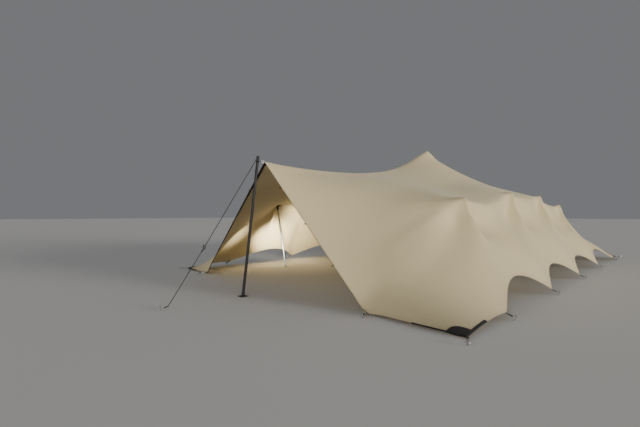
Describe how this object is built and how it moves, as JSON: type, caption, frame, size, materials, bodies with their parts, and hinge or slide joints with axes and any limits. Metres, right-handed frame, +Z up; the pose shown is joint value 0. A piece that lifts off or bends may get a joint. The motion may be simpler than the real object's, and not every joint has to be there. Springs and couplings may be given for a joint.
{
  "type": "stretch tent",
  "caption": "Open-fronted stretch tent: an elastic sheet raised on a king pole, leaning side poles and an outside front mast, tied down in scallops to ground stakes.",
  "frame": {"origin": "foot of the king pole, on the ground", "axes": "+Z up; -Y towards the open front; +X to the right for someone who looks at the open front from outside"},
  "size_m": [8.5242, 14.9303, 3.666],
  "materials": {
    "sheet": "matt sand-coloured stretch fabric, smooth knit, softly creased under the pole heads",
    "webbing": "black polyester webbing and rope, matt",
    "steel": "galvanised steel, lightly worn",
    "alloy": "mill-finish aluminium tube",
    "mast_paint": "black satin paint",
    "rubber": "black moulded rubber, matt"
  },
  "bodies": {
    "root": {"canopy_strip_1": "sheet", "canopy_strip_2": "sheet", "canopy_strip_3": "sheet", "canopy_strip_4": "sheet", "canopy_strip_5": "sheet", "canopy_strip_6": "sheet", "canopy_strip_7": "sheet", "corner_anchor_front_left": "steel", "corner_anchor_front_right": "steel", "corner_anchor_rear_left": "steel", "corner_anchor_rear_right": "steel", "corner_patch_front_left": "webbing", "corner_patch_front_right": "webbing", "corner_patch_rear_left": "webbing", "corner_patch_rear_right": "webbing", "front_hem_left": "webbing", "front_hem_right": "webbing", "guy_anchor": "steel", "guy_rope": "webbing", "king_pole": "alloy", "king_pole_base": "steel", "king_pole_head": "rubber", "mast": "mast_paint", "mast_base": "steel", "mast_cap": "rubber", "rear_anchor_left": "steel", "rear_anchor_right": "steel", "side_anchor_left_1": "steel", "side_anchor_left_2": "steel", "side_anchor_left_3": "steel", "side_anchor_left_4": "steel", "side_anchor_left_5": "steel", "side_anchor_right_1": "steel", "side_anchor_right_2": "steel", "side_anchor_right_3": "steel", "side_anchor_right_4": "steel", "side_anchor_right_5": "steel", "side_pole_left_1": "alloy", "side_pole_left_2": "alloy", "side_pole_left_3": "alloy", "side_pole_left_4": "alloy", "side_pole_right_1": "alloy", "side_pole_right_2": "alloy", "side_pole_right_3": "alloy", "side_pole_right_4": "alloy", "tip_link": "webbing", "toe_anchor_left": "steel", "toe_anchor_right": "steel"}
  },
  "joints": []
}
